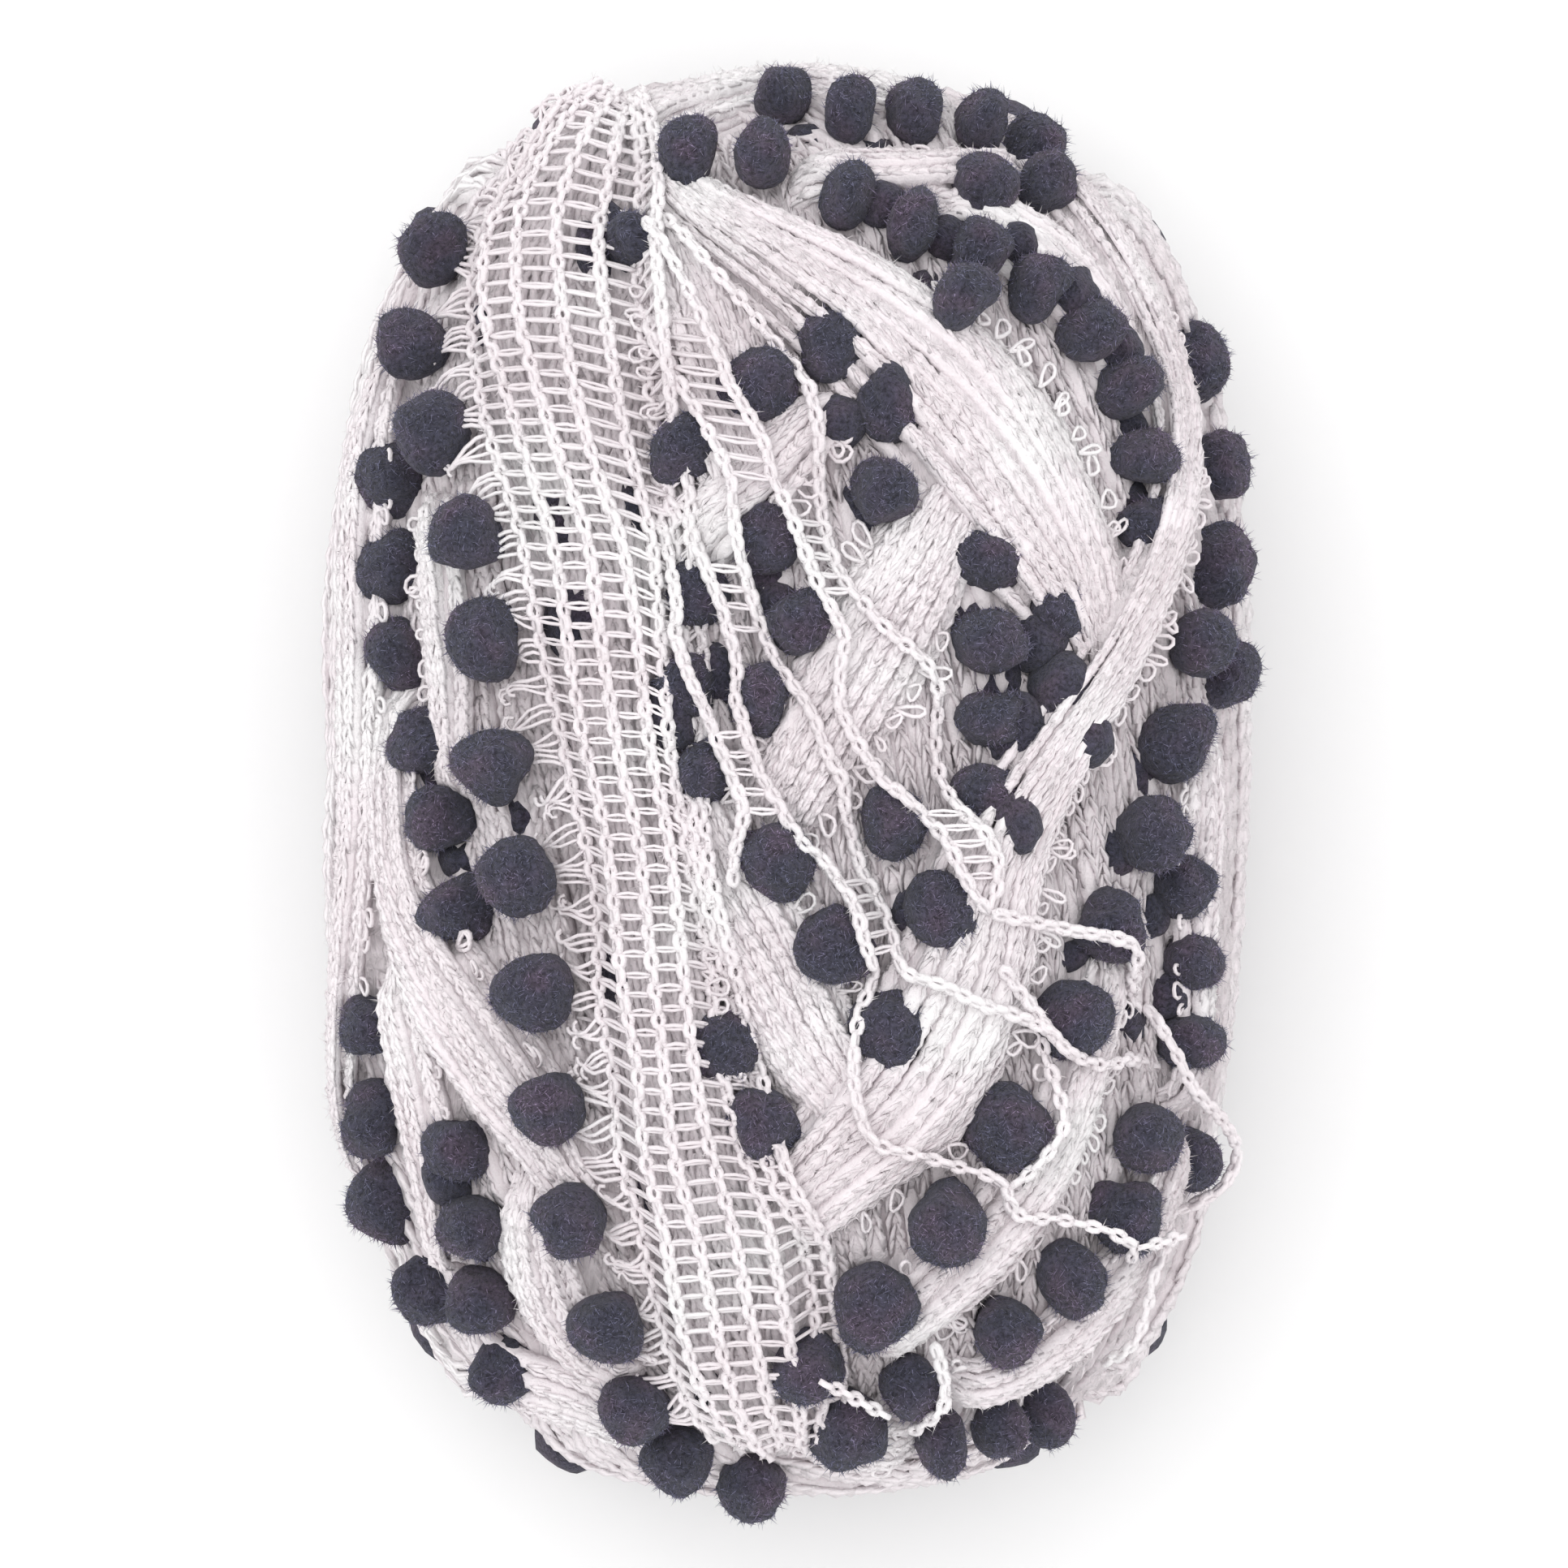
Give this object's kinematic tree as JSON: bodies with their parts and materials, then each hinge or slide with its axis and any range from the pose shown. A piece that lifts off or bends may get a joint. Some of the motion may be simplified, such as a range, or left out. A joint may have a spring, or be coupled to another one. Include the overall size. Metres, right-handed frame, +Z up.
{
  "type": "pom pom yarn ball",
  "caption": "Ball of off-white net ribbon yarn wound lengthways, with a row of dark felted pompoms along the ribbon's edge and two slack loops of thread.",
  "frame": {"origin": "middle of the flat spot that the ball rests on, under the middle of its outline seen from above", "axes": "+Y runs along the ball towards the end where the ribbon fans out, +Z is up, +X is to the right seen from above"},
  "size_m": [0.1153, 0.178, 0.0966],
  "materials": {
    "yarn": "soft matt knitted acrylic",
    "pompom": "matt felted fibre"
  },
  "bodies": {
    "root": {"pompoms_bottom": "pompom", "pompoms_bottom_left": "pompom", "pompoms_bottom_middle": "pompom", "pompoms_bottom_pole": "pompom", "pompoms_bottom_turn": "pompom", "pompoms_centre": "pompom", "pompoms_centre_low": "pompom", "pompoms_centre_top": "pompom", "pompoms_corner": "pompom", "pompoms_corner_edge": "pompom", "pompoms_fan_edge": "pompom", "pompoms_fan_top": "pompom", "pompoms_left_deep": "pompom", "pompoms_left_fork": "pompom", "pompoms_left_lower": "pompom", "pompoms_low_left": "pompom", "pompoms_low_right": "pompom", "pompoms_lower_centre": "pompom", "pompoms_net_bottom": "pompom", "pompoms_net_edge": "pompom", "pompoms_net_right": "pompom", "pompoms_net_top": "pompom", "pompoms_right_centre": "pompom", "pompoms_right_edge": "pompom", "pompoms_right_gap": "pompom", "pompoms_right_low_edge": "pompom", "pompoms_right_upper": "pompom", "pompoms_rope_low": "pompom", "pompoms_side_left": "pompom", "pompoms_side_right": "pompom", "pompoms_top": "pompom", "pompoms_top_left": "pompom", "pompoms_top_pole": "pompom", "pompoms_top_right": "pompom", "pompoms_top_turn": "pompom", "pompoms_v_gap": "pompom", "slack_loop_lower": "yarn", "slack_loop_upper": "yarn", "wound_ribbon": "yarn"}
  },
  "joints": []
}
